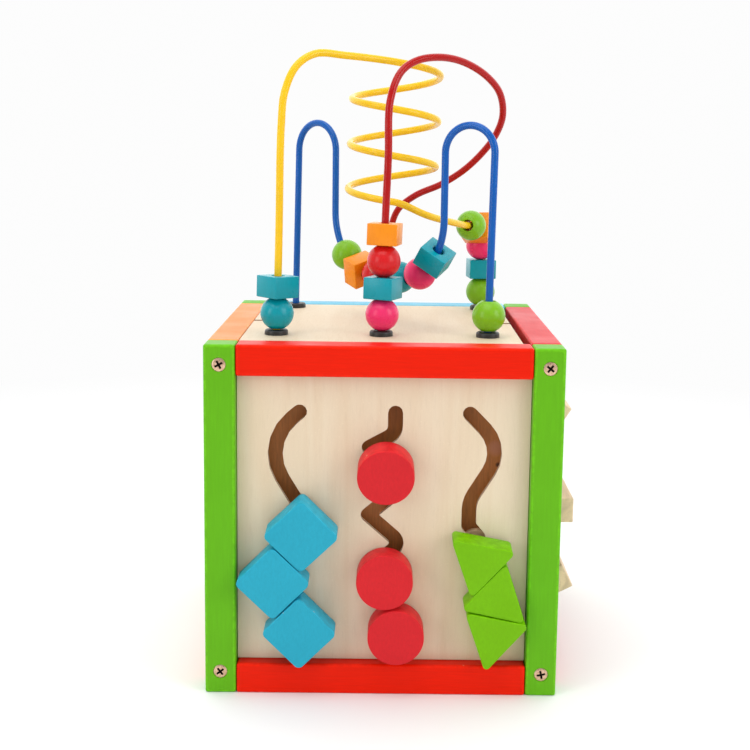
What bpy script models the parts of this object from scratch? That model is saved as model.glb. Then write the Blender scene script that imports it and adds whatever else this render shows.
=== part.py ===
"""Baby activity cube: a wooden box with a bead maze on top, three slotted slider tracks in
the front wall and nine spinning tiles in the right side.

Metres, +Z up. The front wall faces -Y. The origin is the centre of the underside, and the
cube stands on z = 0. Lengths below are written in millimetres and multiplied by MM.
"""

import math

import bmesh
import bpy
from mathutils import Matrix, Vector

MM = 0.001
GAP = 0.3 * MM  # clearance between pieces that touch on the real toy

# Box
WIDTH = 200 * MM
HEIGHT = 201 * MM
BAR = 17.5 * MM  # posts and rails are square bars
BAR_EDGE = 1.0 * MM  # rounding of a bar's edges
WALL_RECESS = 8 * MM
WALL = 4 * MM
TOP_THICKNESS = 5 * MM
TOP_RECESS = 0.3 * MM
TOP_RIGHT_GAP = 4.5 * MM
NOTCH = (5 * MM, 8 * MM)  # width along Y, depth inwards, in both side edges of the top

HALF = WIDTH / 2
INNER = HALF - BAR
FRONT_WALL_Y = -HALF + WALL_RECESS
TOP_Z = HEIGHT - TOP_RECESS

# Bead maze
WIRE = 4.4 * MM
WIRE_HOLE = 5.6 * MM
WIRE_END_Z = TOP_Z - TOP_THICKNESS - 2 * MM
WIRE_STEP = 7.5 * MM
FOOT_HEIGHT = 3.1 * MM
BALL = 19.4 * MM
BLOCK_SIDE = 17.5 * MM
BLOCK_HEIGHT = 12.5 * MM
BEAD_BORE = 7.2 * MM
BALL_HALF_HEIGHT = math.sqrt((BALL / 2) ** 2 - (BEAD_BORE / 2) ** 2)

# Sliders and their slots
SLOT_WIDTH = 8.4 * MM
PEG = 5.4 * MM
KNOB_THICKNESS = 15 * MM
SQUARE_SIDE = 30.2 * MM
DISC = 31.8 * MM
TRIANGLE_RADIUS = 21.5 * MM  # centre to sharp corner
KNOB_CORNER = 2.4 * MM
RETAINER = 21.4 * MM
RETAINER_THICKNESS = 3 * MM
PEG_FREE = 8.8 * MM  # from the back of a knob to its retainer
BACKING = 3 * MM
BACKING_Y = -79.8 * MM
BACKING_RIGHT = 70 * MM

# Spinning tiles
TILE = (38 * MM, 48 * MM, 14.5 * MM)  # across, along the dowel, thick
TILE_PITCH_Y = 52 * MM
TILE_ROWS = (150.3 * MM, 102.6 * MM, 54.9 * MM)
TILE_ANGLES = ((58, 12, -35), (0, 4, 70), (27, -50, 8))  # degrees, front to back in each row
DOWEL_X = HALF - BAR / 2
DOWEL = 7.6 * MM
DOWEL_HOLE = 8.4 * MM
TILE_BORE = 8.8 * MM

SEGMENTS = 16  # sides of a ball
SMALL_SEGMENTS = 12  # sides of a bore, peg or dowel

GREEN = (0.112, 0.445, 0.010)
ORANGE_RED = (0.82, 0.016, 0.003)
ORANGE = (0.87, 0.28, 0.012)
CRIMSON = (0.60, 0.016, 0.020)
SKY = (0.10, 0.45, 0.60)
PLYWOOD = (0.73, 0.61, 0.43)
BIRCH = (0.80, 0.65, 0.44)
BROWN = (0.18, 0.060, 0.020)
BLUE = (0.031, 0.39, 0.57)
RED = (0.72, 0.027, 0.042)
TRIANGLE_GREEN = (0.17, 0.53, 0.007)
TEAL = (0.0, 0.30, 0.37)
PINK = (0.83, 0.045, 0.19)
BALL_GREEN = (0.22, 0.54, 0.07)
WIRE_YELLOW = (0.83, 0.48, 0.017)
WIRE_RED = (0.48, 0.010, 0.010)
WIRE_BLUE = (0.013, 0.09, 0.40)


def clear_scene():
    for obj in list(bpy.data.objects):
        bpy.data.objects.remove(obj, do_unlink=True)


def new_collection(name, hidden=False):
    collection = bpy.data.collections.new(name)
    collection.hide_render = hidden
    bpy.context.scene.collection.children.link(collection)
    return collection


def paint(name, colour, roughness=0.5):
    """A plain finish, made once for each name."""
    if name in bpy.data.materials:
        return bpy.data.materials[name]
    material = bpy.data.materials.new(name)
    material.use_nodes = True
    shader = material.node_tree.nodes["Principled BSDF"]
    shader.inputs["Base Color"].default_value = (*colour, 1)
    shader.inputs["Roughness"].default_value = roughness
    shader.inputs["Metallic"].default_value = 0.0
    return material


def finish_mesh(name, form, material, place=Matrix(), smooth=None):
    """Turns a bmesh into an object of the toy, standing at place."""
    bmesh.ops.recalc_face_normals(form, faces=form.faces)
    mesh = bpy.data.meshes.new(name)
    form.to_mesh(mesh)
    form.free()
    if smooth is not None:
        mesh.shade_smooth()
        mesh.set_sharp_from_angle(angle=math.radians(smooth))
    mesh.materials.append(material)
    obj = bpy.data.objects.new(name, mesh)
    obj.matrix_world = place
    toy.objects.link(obj)
    return obj


def box_form(size, centre=(0, 0, 0)):
    form = bmesh.new()
    bmesh.ops.create_cube(form, size=1, matrix=Matrix.Translation(centre) @ Matrix.Diagonal((*size, 1)))
    return form


def rod_form(diameter, low, high, segments, axis="Y"):
    """A cylinder along one axis, from low to high on it."""
    turn = Matrix.Rotation(-math.pi / 2, 4, "X") if axis == "Y" else Matrix()
    form = bmesh.new()
    bmesh.ops.create_cone(
        form,
        cap_ends=True,
        segments=segments,
        radius1=diameter / 2,
        radius2=diameter / 2,
        depth=high - low,
        matrix=turn @ Matrix.Translation((0, 0, (low + high) / 2)),
    )
    return form


def prism_form(outline, low, high):
    """A flat outline of (x, z) points, drawn out along Y from low to high."""
    form = bmesh.new()
    face = form.faces.new([form.verts.new((x, low, z)) for x, z in outline])
    drawn = bmesh.ops.extrude_face_region(form, geom=[face])["geom"]
    verts = [item for item in drawn if isinstance(item, bmesh.types.BMVert)]
    bmesh.ops.translate(form, verts=verts, vec=(0, high - low, 0))
    return form


def bar(name, low, high, material, edge=BAR_EDGE):
    """A square-cut piece between two corners, with its edges eased."""
    low, high = Vector(low), Vector(high)
    obj = finish_mesh(name, box_form(high - low), material, Matrix.Translation((low + high) / 2))
    bevel = obj.modifiers.new("eased edges", "BEVEL")
    bevel.width = edge
    bevel.segments = 1
    return obj


def cut(obj, form, place=Matrix(), union=False):
    """Takes a form out of an object, or joins it on."""
    bmesh.ops.recalc_face_normals(form, faces=form.faces)
    mesh = bpy.data.meshes.new(obj.name + " cutter")
    form.to_mesh(mesh)
    form.free()
    cutter = bpy.data.objects.new(mesh.name, mesh)
    cutter.matrix_world = place
    cutter.hide_render = True
    cutter.display_type = "WIRE"
    cutters.objects.link(cutter)
    boolean = obj.modifiers.new("join" if union else "cut", "BOOLEAN")
    boolean.operation = "UNION" if union else "DIFFERENCE"
    boolean.solver = "EXACT"
    boolean.object = cutter


def rounded(corners, steps=3):
    """Points of an open or closed run of (x, z, radius) corners, each turned by an arc of its radius.
    The first and last corners of an open run have radius None."""
    closed = corners[0][2] is not None
    points = []
    for index, (x, z, radius) in enumerate(corners):
        if not radius:
            points.append(Vector((x, z)))
            continue
        if not closed and index in (0, len(corners) - 1):
            continue
        here = Vector((x, z))
        before = (Vector(corners[index - 1][:2]) - here).normalized()
        after = (Vector(corners[(index + 1) % len(corners)][:2]) - here).normalized()
        half = before.angle(after) / 2
        centre = here + (before + after).normalized() * radius / math.sin(half)
        first = here + before * radius / math.tan(half) - centre
        last = here + after * radius / math.tan(half) - centre
        sweep = math.atan2(first.x * last.y - first.y * last.x, first.dot(last))
        count = max(steps, round(abs(math.degrees(sweep)) / 15))
        for step in range(count + 1):
            turn = Matrix.Rotation(sweep * step / count, 2)
            points.append(centre + turn @ first)
    return points


def slot_outline(corners):
    """The outline that a round cutter of SLOT_WIDTH leaves along a centre line of corners."""
    line = rounded([(x * MM, z * MM, r and r * MM) for x, z, r in corners])
    ways = [(after - before).normalized() for before, after in zip(line, line[1:])]
    radius = SLOT_WIDTH / 2

    def side(sign):
        """One edge of the slot: +1 for the left one and -1 for the right one."""
        edge = [line[0] + sign * radius * ways[0].orthogonal()]
        for point, before, after in zip(line[1:], ways, ways[1:]):
            turn = math.atan2(before.x * after.y - before.y * after.x, before.dot(after))
            start = sign * radius * before.orthogonal()
            if turn * sign < 0:
                count = max(1, round(abs(math.degrees(turn)) / 20))
                edge += [point + Matrix.Rotation(turn * k / count, 2) @ start for k in range(count + 1)]
            else:
                edge.append(point + Matrix.Rotation(turn / 2, 2) @ start / math.cos(turn / 2))
        return [*edge, line[-1] + sign * radius * ways[-1].orthogonal()]

    left, right = side(1), side(-1)
    ends = []
    for centre, start in ((line[-1], left[-1]), (line[0], right[0])):
        ends.append([centre + Matrix.Rotation(-math.pi * k / 6, 2) @ (start - centre) for k in range(1, 6)])
    return left + ends[0] + right[::-1] + ends[1]


# Frame


def build_frame():
    """Four posts, and four rails at the top and at the base between them."""
    green = paint("green paint", GREEN)
    faces = {
        "front": paint("orange-red paint", ORANGE_RED),
        "back": paint("sky-blue paint", SKY),
        "left": paint("orange paint", ORANGE),
        "right": paint("crimson paint", CRIMSON),
    }
    for depth, y in (("front", -1), ("back", 1)):
        for side, x in (("left", -1), ("right", 1)):
            low = [min(v * HALF, v * INNER) for v in (x, y)]
            high = [max(v * HALF, v * INNER) for v in (x, y)]
            post = bar(f"post_{depth}_{side}", (*low, 0), (*high, HEIGHT), green)
            if side == "right":
                seat = -INNER - 9 * MM if y < 0 else INNER - GAP
                for z in TILE_ROWS:
                    hole = rod_form(DOWEL_HOLE, seat, seat + 9 * MM + GAP, SMALL_SEGMENTS)
                    cut(post, hole, Matrix.Translation((DOWEL_X, 0, z)))
    reach = INNER - GAP
    spans = {
        "front": ((-reach, -HALF), (reach, -INNER)),
        "back": ((-reach, INNER), (reach, HALF)),
        "left": ((-HALF, -reach), (-INNER, reach)),
        "right": ((INNER, -reach), (HALF, reach)),
    }
    for face, (low, high) in spans.items():
        bar(f"top_rail_{face}", (*low, HEIGHT - BAR), (*high, HEIGHT), faces[face])
        bar(f"base_rail_{face}", (*low, 0), (*high, BAR), faces[face])


# Walls

LEFT_SLOT = (
    (-47.3, 162.3, None),
    (-69.0, 143.8, 27),
    (-45.3, 105.1, 8),
    (-45.3, 91.0, 5),
    (-61.2, 76.5, 5),
    (-61.2, 62.5, 5),
    (-46.3, 49.0, 5),
    (-46.3, 39.4, None),
)
MIDDLE_SLOT = (
    (6.4, 162.3, None),
    (6.4, 150.5, 7),
    (-8.2, 142.4, 0),
    (10.0, 119.0, 0),
    (-8.4, 103.3, 0),
    (10.3, 87.0, 5),
    (1.4, 79.0, 0),
    (1.4, 60.0, 0),
    (8.1, 52.0, 0),
    (8.1, 37.5, None),
)
RIGHT_SLOT = (
    (48.2, 162.3, None),
    (67.6, 142.5, 20),
    (48.7, 112.0, 18),
    (48.7, 97.5, 0),
    (54.2, 91.0, 0),
    (54.2, 76.0, 0),
    (64.7, 70.5, 0),
    (64.7, 54.0, 0),
    (62.9, 50.0, 0),
    (62.9, 38.7, None),
)


def build_walls():
    plywood = paint("birch plywood", PLYWOOD, 0.6)
    edge = 0.2 * MM
    reach = INNER - GAP
    low_z, high_z = BAR + GAP, HEIGHT - BAR - GAP
    outer = HALF - WALL_RECESS

    front = finish_mesh("front_wall", box_form((2 * reach, WALL, high_z - low_z)), plywood)
    front.location = (0, FRONT_WALL_Y + WALL / 2, (low_z + high_z) / 2)
    for slot in (LEFT_SLOT, MIDDLE_SLOT, RIGHT_SLOT):
        cut(front, prism_form(slot_outline(slot), FRONT_WALL_Y - MM, FRONT_WALL_Y + WALL + MM))

    bar("left_wall", (-outer, -reach, low_z), (-outer + WALL, reach, high_z), plywood, edge)
    bar("back_wall", (-reach, outer - WALL, low_z), (reach, outer, high_z), plywood, edge)
    bar("base_panel", (-reach, -reach, 0), (reach, reach, WALL), plywood, edge)
    top_under = TOP_Z - TOP_THICKNESS
    brown = paint("brown backing board", BROWN, 0.7)
    backing_low = (-reach, BACKING_Y, WALL + GAP)
    bar("slot_backing_board", backing_low, (BACKING_RIGHT, BACKING_Y + BACKING, top_under - GAP), brown, edge)

    top = bar("top_panel", (-reach, -reach, top_under), (INNER - TOP_RIGHT_GAP, reach, TOP_Z), plywood, edge)
    for x, y in wire_feet():
        hole = rod_form(WIRE_HOLE, top_under - MM, TOP_Z + MM, SMALL_SEGMENTS, "Z")
        cut(top, hole, Matrix.Translation((x, y, 0)))
    width, depth = NOTCH
    for edge_x, inwards in ((-reach, 1), (INNER - TOP_RIGHT_GAP, -1)):
        notch = box_form((2 * depth, width, 3 * TOP_THICKNESS), (edge_x, 0, top_under))
        cut(top, notch)


# Wires

YELLOW_FRONT = (
    (-63.3, -57, None),
    (-61.9, -57, 258),
    (-60.6, -57, 322),
    (-58.8, -56, 339.5),
    (-52.5, -53, 354),
    (-42.0, -48, 361.4),
    (-25.0, -38, 361.3),
    (-8.0, -27.5, 360.3),
)
COIL_RADIUS = 26.7 * MM
COIL_PITCH = 27.4 * MM
COIL_Y = 5 * MM
COIL_TOP = (5.3 * MM, 358.9 * MM)  # x and z where the coil starts, at its front
COIL_LEAN = 0.038  # drift of the coil's axis to -X for each metre down
COIL_TURNS = 3.03
YELLOW_BACK = ((24.0, -13.5, 268.5), (39.5, 5, 263.5), (50.0, 24, 260.3))
YELLOW_BACK_FOOT = (63.8, 67)
YELLOW_BEND_RADIUS = 24 * MM
YELLOW_BEND_Z = 235 * MM  # where the back upright starts to lean forward
YELLOW_BEND_WAY = Vector((-0.28, -0.96, 0)).normalized()
RED_ROUTE = (
    (-2.4, -57, None),
    (-0.9, -57, 265),
    (0.4, -57, 304),
    (1.0, -56, 335),
    (6.5, -50.5, 351.0),
    (15.5, -43, 358.4),
    (28.4, -34, 361.3),
    (43.0, -22, 359.9),
    (58.5, -8, 352.6),
    (68.3, 4, 342.5),
    (71.2, 14, 329.5),
    (67.8, 22, 317.5),
    (60.5, 30, 306.5),
    (49.5, 38, 295.2),
    (35.5, 46, 285.6),
    (18.5, 55, 277.5),
    (7.5, 62, 268.0),
    (3.0, 66.5, 256.0),
    (1.2, 67, 235.0),
    (0.0, 67, None),
)
BLUE_BACK_FOOT = (-61.0, 67)
BLUE_FRONT_FOOT = (59.6, -57)
BLUE_BACK_ARCH = ((-58.9, 67), (-33.5, 42.0), 306)  # plan points of its legs, and their top
BLUE_FRONT_ARCH = ((33.6, -42.0), (61.2, -57), 306.6)
DIP_BOTTOM = 229.5 * MM
DIP_RADIUS = 38 * MM
DIP_START = Vector((BLUE_BACK_ARCH[1][0] * MM, BLUE_BACK_ARCH[1][1] * MM, 0))
DIP_END = Vector((BLUE_FRONT_ARCH[0][0] * MM, BLUE_FRONT_ARCH[0][1] * MM, 0))
DIP_WAY = (DIP_END - DIP_START).normalized()
DIP_LENGTH = (DIP_END - DIP_START).length


def wire_feet():
    """Plan places of the six wire ends in the top panel."""
    routes = (YELLOW_FRONT[0], YELLOW_BACK_FOOT, RED_ROUTE[0], RED_ROUTE[-1], BLUE_BACK_FOOT, BLUE_FRONT_FOOT)
    return [(place[0] * MM, place[1] * MM) for place in routes]


def route(points):
    """Millimetre points as vectors. A height of None is a wire's end under the top panel."""
    return [Vector((x * MM, y * MM, WIRE_END_Z if z is None else z * MM)) for x, y, z in points]


def smooth_through(points, step=WIRE_STEP):
    """Points a step apart on a Catmull-Rom curve through the given ones."""
    padded = [2 * points[0] - points[1], *points, 2 * points[-1] - points[-2]]
    run = []
    for a, b, c, d in zip(padded, padded[1:], padded[2:], padded[3:]):
        count = max(1, round((c - b).length / step))
        if max((b - a).angle(c - b), (c - b).angle(d - c)) < math.radians(2):
            count = 1
        knots = [0.0]
        for start, end in ((a, b), (b, c), (c, d)):
            knots.append(knots[-1] + math.sqrt((end - start).length))
        for index in range(count):
            t = knots[1] + (knots[2] - knots[1]) * index / count
            near = [blend(p, q, knots[i], knots[i + 1], t) for i, (p, q) in enumerate(((a, b), (b, c), (c, d)))]
            mid = [blend(near[i], near[i + 1], knots[i], knots[i + 2], t) for i in range(2)]
            run.append(blend(mid[0], mid[1], knots[1], knots[2], t))
    return [*run, points[-1]]


def blend(p, q, low, high, t):
    return p * ((high - t) / (high - low)) + q * ((t - low) / (high - low))


def arc(centre, first, second, start, end, count):
    """Points of an arc about centre, first being its 0 degree direction and second its 90."""
    angles = [math.radians(start + (end - start) * index / count) for index in range(count + 1)]
    return [centre + first * math.cos(angle) + second * math.sin(angle) for angle in angles]


def coil():
    """The yellow wire's coil, which winds down from its front, anticlockwise seen from above."""
    count = round(COIL_TURNS * 24)
    points = []
    for index in range(count + 1):
        turns = COIL_TURNS * index / count
        angle = math.tau * turns - math.pi / 2
        drop = COIL_PITCH * turns
        x = COIL_TOP[0] - COIL_LEAN * drop + COIL_RADIUS * math.cos(angle)
        points.append(Vector((x, COIL_Y + COIL_RADIUS * math.sin(angle), COIL_TOP[1] - drop)))
    return points


def arch(legs):
    (x1, y1), (x2, y2), z = legs
    start, end = Vector((x1, y1, z)) * MM, Vector((x2, y2, z)) * MM
    radius = (end - start).length / 2
    return arc((start + end) / 2, start - (start + end) / 2, Vector((0, 0, radius)), 0, 180, 12)


def dip_point(along, height):
    return DIP_START + DIP_WAY * along + Vector((0, 0, height))


def dip():
    """The low run of the blue wire between its two arches: two quarter turns and a flat."""
    up = Vector((0, 0, DIP_RADIUS))
    side = DIP_WAY * DIP_RADIUS
    height = DIP_BOTTOM + DIP_RADIUS
    first = arc(dip_point(DIP_RADIUS, height), -side, -up, 0, 90, 9)
    last = arc(dip_point(DIP_LENGTH - DIP_RADIUS, height), -up, side, 0, 90, 9)
    return first + last


def wire(name, points, material):
    curve = bpy.data.curves.new(name, "CURVE")
    curve.dimensions = "3D"
    curve.bevel_depth = WIRE / 2
    curve.bevel_resolution = 2
    curve.use_fill_caps = True
    spline = curve.splines.new("POLY")
    spline.points.add(len(points) - 1)
    for point, place in zip(spline.points, points):
        point.co = (*place, 1)
    curve.materials.append(material)
    obj = bpy.data.objects.new(name, curve)
    toy.objects.link(obj)


def yellow_path():
    turned = coil()
    foot = route([(*YELLOW_BACK_FOOT, None)])[0]
    side = YELLOW_BEND_WAY * YELLOW_BEND_RADIUS
    centre = Vector((foot.x, foot.y, YELLOW_BEND_Z)) + side
    bend = arc(centre, Vector((0, 0, YELLOW_BEND_RADIUS)), -side, 0, 90, 9)
    front = smooth_through([*route(YELLOW_FRONT), turned[0], turned[1]])
    joined = smooth_through([turned[-2], turned[-1], *route(YELLOW_BACK), bend[0], bend[1]])
    return front[:-2] + turned[:-2] + joined[:-2] + bend + [foot]


def red_path():
    return smooth_through(route(RED_ROUTE))


def blue_path():
    ends = route([(*BLUE_BACK_FOOT, None), (*BLUE_FRONT_FOOT, None)])
    return [ends[0], *arch(BLUE_BACK_ARCH), *dip(), *arch(BLUE_FRONT_ARCH), ends[1]]


def build_wires():
    wire("yellow_wire", yellow_path(), paint("yellow wire coat", WIRE_YELLOW, 0.3))
    wire("red_wire", red_path(), paint("red wire coat", WIRE_RED, 0.3))
    wire("blue_wire", blue_path(), paint("blue wire coat", WIRE_BLUE, 0.3))


# Beads


def ball_mesh():
    """A turned ball with a bore through it along Z, as a ring-shaped profile spun about Z."""
    top = math.acos(BEAD_BORE / BALL)
    form = bmesh.new()
    angles = [top - 2 * top * index / 8 for index in range(9)]
    rim = [form.verts.new((BALL / 2 * math.cos(a), 0, BALL / 2 * math.sin(a))) for a in angles]
    edges = [form.edges.new((a, b)) for a, b in zip(rim, rim[1:] + rim[:1])]
    bmesh.ops.spin(form, geom=rim + edges, axis=(0, 0, 1), angle=math.tau, steps=SEGMENTS, use_merge=True)
    return form


def block_mesh():
    form = box_form((BLOCK_SIDE, BLOCK_SIDE, BLOCK_HEIGHT))
    bmesh.ops.bevel(form, geom=form.edges[:], offset=0.8 * MM, segments=1, affect="EDGES", profile=0.5)
    return form


def bead(name, shape, colour, centre, way, turn=0.0):
    """A bead whose bore lies along way, turned about it by turn degrees."""
    tints = {"teal": TEAL, "pink": PINK, "red": RED, "orange": ORANGE, "green": BALL_GREEN}
    material = paint(f"{colour} bead paint", tints[colour], 0.4)
    upright = Vector((0, 0, 1)).rotation_difference(way).to_matrix().to_4x4()
    place = Matrix.Translation(centre) @ upright @ Matrix.Rotation(math.radians(turn), 4, "Z")
    if shape == "ball":
        finish_mesh(name, ball_mesh(), material, place, smooth=40)
        return
    block = finish_mesh(name, block_mesh(), material, place)
    cut(block, rod_form(BEAD_BORE, -BLOCK_HEIGHT, BLOCK_HEIGHT, SMALL_SEGMENTS, "Z"), place)


STACKS = {
    # beads from the foot up: shape, colour, turn about the wire, and free wire below in millimetres
    "front_left": (("ball", "teal", 0, 0), ("block", "teal", 44, 0)),
    "front_middle": (
        ("ball", "pink", 0, 0),
        ("block", "teal", -22, 0),
        ("ball", "red", 0, 0),
        ("block", "orange", -11.5, 0),
    ),
    "front_right": (("ball", "green", 0, 0),),
    "back_right": (
        ("ball", "green", 0, 0),
        ("block", "teal", 6, 0),
        ("ball", "pink", 0, 1.0),
        ("block", "orange", -14, 2.8),
        ("ball", "green", 0, 2.0),
    ),
}
LEFT_DIP_BEADS = (("red", "ball", -9.8, 0), ("orange", "block", 16.0, 22), ("green", "ball", 42.2, 0))
RIGHT_DIP_BEADS = (("teal", "ball", -3.5, 0), ("pink", "ball", 26.5, 0), ("teal", "block", 52.5, -22))


def walk(points, distance):
    """The point at a distance along a run of points."""
    for start, end in zip(points, points[1:]):
        length = (end - start).length
        if distance <= length:
            return start.lerp(end, distance / length)
        distance -= length
    return points[-1]


def half_height(shape):
    return BALL_HALF_HEIGHT if shape == "ball" else BLOCK_HEIGHT / 2


def build_stacks():
    """Beads resting on each other up a wire from its foot, following it where it bends."""
    wires = {
        "front_left": yellow_path(),
        "front_middle": red_path(),
        "front_right": blue_path()[::-1],
        "back_right": yellow_path()[::-1],
    }
    for place, beads in STACKS.items():
        distance = TOP_Z + FOOT_HEIGHT - WIRE_END_Z
        for number, (shape, colour, turn, free) in enumerate(beads, 1):
            half = half_height(shape)
            distance += GAP + free * MM + half
            low, middle, high = (walk(wires[place], distance + step) for step in (-half, 0, half))
            centre = (low + high) / 4 + middle / 2
            bead(f"{place}_bead_{number}_{colour}_{shape}", shape, colour, centre, high - low, turn)
            distance += half


def build_dip_beads():
    """Beads on the two bends of the blue wire's dip, at angles up from its flat, or back along it."""
    height = DIP_BOTTOM + DIP_RADIUS
    sides = (
        ("dip_left", LEFT_DIP_BEADS, DIP_RADIUS, -DIP_WAY),
        ("dip_right", RIGHT_DIP_BEADS, DIP_LENGTH - DIP_RADIUS, DIP_WAY),
    )
    for side, beads, centre_along, out in sides:
        centre = dip_point(centre_along, height)
        for number, (colour, shape, angle, turn) in enumerate(beads, 1):
            flat = out * DIP_RADIUS * math.radians(min(angle, 0))
            angle = math.radians(max(angle, 0))
            radius = DIP_RADIUS * (1 + math.cos(half_height(shape) / DIP_RADIUS)) / 2
            place = centre + flat + (out * math.sin(angle) - Vector((0, 0, math.cos(angle)))) * radius
            way = out * math.cos(angle) + Vector((0, 0, math.sin(angle)))
            bead(f"{side}_bead_{number}_{colour}_{shape}", shape, colour, place, way, turn)


# Sliders


def polygon(sides, radius, turn, corner):
    """A regular outline with rounded corners, its first corner at turn degrees."""
    angles = [math.radians(turn) + math.tau * index / sides for index in range(sides)]
    corners = [(radius * math.cos(angle), radius * math.sin(angle), corner) for angle in angles]
    return rounded(corners, steps=2)


SLIDERS = {
    # face centre (x, z), turn of the outline, droop of the face: both in degrees
    "blue_square": (((-45.3, 94.9), 44.6, 5), ((-61.2, 67.3), 45.4, 1.5), ((-46.3, 38.3), 45, 1.5)),
    "red_disc": (((1.4, 129.1), 0, 9), ((1.4, 68.6), 0, 1.5), ((8.1, 36.4), 0, 1.5)),
    "green_triangle": (((54.2, 80.8), 259, 5), ((64.7, 59.9), 78, 1.5), ((62.9, 37.6), 259, 1.5)),
}


def knob_outline(kind, turn):
    if kind == "blue_square":
        return polygon(4, SQUARE_SIDE / math.sqrt(2), turn + 45, 1.3 * KNOB_CORNER)
    if kind == "green_triangle":
        return polygon(3, TRIANGLE_RADIUS, turn, KNOB_CORNER)
    return [Vector((DISC / 2 * math.cos(a), DISC / 2 * math.sin(a))) for a in circle(24)]


def circle(count):
    return [math.tau * index / count for index in range(count)]


def build_sliders():
    """A knob in front of the wall, its peg through the slot, and a retaining disc behind it."""
    colours = {"blue_square": BLUE, "red_disc": RED, "green_triangle": TRIANGLE_GREEN}
    for kind, places in SLIDERS.items():
        material = paint(kind.replace("_", " ") + " paint", colours[kind], 0.45)
        for number, ((x, z), turn, droop) in enumerate(places, 1):
            outline = knob_outline(kind, turn)
            low_edge = -min(point.y for point in outline)
            droop = math.radians(droop)
            back_y = FRONT_WALL_Y - GAP - low_edge * math.sin(droop)
            back_z = z * MM + KNOB_THICKNESS * math.sin(droop)
            place = Matrix.Translation((x * MM, back_y, back_z)) @ Matrix.Rotation(droop, 4, "X")
            knob = prism_form(outline, -KNOB_THICKNESS, 0)
            slider = finish_mesh(f"{kind}_slider_{number}", knob, material, place)
            end = PEG_FREE + RETAINER_THICKNESS
            cut(slider, rod_form(PEG, -KNOB_THICKNESS / 2, PEG_FREE + MM, SMALL_SEGMENTS), place, union=True)
            cut(slider, rod_form(RETAINER, PEG_FREE, end, SEGMENTS), place, union=True)


# Tiles


def build_tiles():
    """Three dowels across the open right side, each with three tiles that spin on it."""
    birch = paint("bare birch", BIRCH, 0.6)
    reach = INNER + 8 * MM
    for row, (z, angles) in enumerate(zip(TILE_ROWS, TILE_ANGLES), 1):
        axle = rod_form(DOWEL, -reach, reach, SMALL_SEGMENTS)
        finish_mesh(f"tile_dowel_{row}", axle, birch, Matrix.Translation((DOWEL_X, 0, z)), smooth=40)
        for column, angle in enumerate(angles, 1):
            form = box_form(TILE)
            bmesh.ops.bevel(form, geom=form.edges[:], offset=0.5 * MM, segments=1, affect="EDGES", profile=0.5)
            y = (column - 2) * TILE_PITCH_Y
            place = Matrix.Translation((DOWEL_X, y, z)) @ Matrix.Rotation(-math.radians(angle), 4, "Y")
            tile = finish_mesh(f"tile_{row}_{column}", form, birch, place)
            cut(tile, rod_form(TILE_BORE, -TILE[1], TILE[1], SMALL_SEGMENTS), place)


clear_scene()
toy = new_collection("baby_activity_cube")
cutters = new_collection("cutters", hidden=True)
build_frame()
build_walls()
build_wires()
build_stacks()
build_dip_beads()
build_sliders()
build_tiles()
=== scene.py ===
import math

import bmesh
import bpy
from mathutils import Matrix, Vector


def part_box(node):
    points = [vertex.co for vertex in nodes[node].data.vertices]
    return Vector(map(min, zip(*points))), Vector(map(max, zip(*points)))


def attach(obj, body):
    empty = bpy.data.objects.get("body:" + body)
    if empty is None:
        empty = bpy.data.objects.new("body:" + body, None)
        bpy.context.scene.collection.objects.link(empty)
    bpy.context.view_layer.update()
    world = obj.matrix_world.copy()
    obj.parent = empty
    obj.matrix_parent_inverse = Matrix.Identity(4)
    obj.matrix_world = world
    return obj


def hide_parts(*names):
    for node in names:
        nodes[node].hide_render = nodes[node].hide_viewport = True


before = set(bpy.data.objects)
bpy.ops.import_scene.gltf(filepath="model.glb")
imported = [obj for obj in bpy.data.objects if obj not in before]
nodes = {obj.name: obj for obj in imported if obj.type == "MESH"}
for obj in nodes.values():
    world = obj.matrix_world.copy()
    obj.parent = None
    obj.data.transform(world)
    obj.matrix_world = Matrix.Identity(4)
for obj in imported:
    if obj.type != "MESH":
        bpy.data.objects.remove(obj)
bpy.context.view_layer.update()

MM = 0.001

# --- Posts and rails -----------------------------------------------------------------------
# Twelve planed beech bars with softly rounded edges, sprayed with one coat of satin
# water-based paint and glued up into the cube's skeleton. The paint is thin on the edges.

GREEN = (0.118, 0.42, 0.006)
ORANGE_RED = (0.76, 0.012, 0.0004)
ORANGE = (0.85, 0.25, 0.05)
CRIMSON = (0.62, 0.016, 0.020)
SKY = (0.12, 0.47, 0.65)
BARE_WOOD = (0.74, 0.55, 0.34)


def add(tree, kind, inputs=(), **settings):
    """Adds one shader node. Inputs are given by name or number, as a value or another socket."""
    made = tree.nodes.new("ShaderNode" + kind)
    for key, value in settings.items():
        setattr(made, key, value)
    for key, value in dict(inputs).items():
        if isinstance(value, bpy.types.NodeSocket):
            tree.links.new(value, made.inputs[key])
        else:
            made.inputs[key].default_value = value
    return made


def new_material(name, colour, roughness):
    material = bpy.data.materials.new(name)
    material.use_nodes = True
    material.diffuse_color = (*colour, 1)
    tree = material.node_tree
    shader = tree.nodes["Principled BSDF"]
    shader.inputs["Base Color"].default_value = (*colour, 1)
    shader.inputs["Roughness"].default_value = roughness
    return material, tree, shader


def shade(colour, factor):
    return (*(min(1.0, channel * factor) for channel in colour), 1)


def mix(tree, factor, first, second):
    """Blends two colours. Sockets 6, 7 and 2 of the node are its colour ones."""
    return add(tree, "Mix", {0: factor, 6: first, 7: second}, data_type="RGBA").outputs[2]


def spread(tree, value, low, high, to_low=0.0, to_high=1.0):
    """Stretches a value from low..high to to_low..to_high, and stops at both ends."""
    source = {"Value": value, "From Min": low, "From Max": high}
    return add(tree, "MapRange", {**source, "To Min": to_low, "To Max": to_high}).outputs[0]


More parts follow.
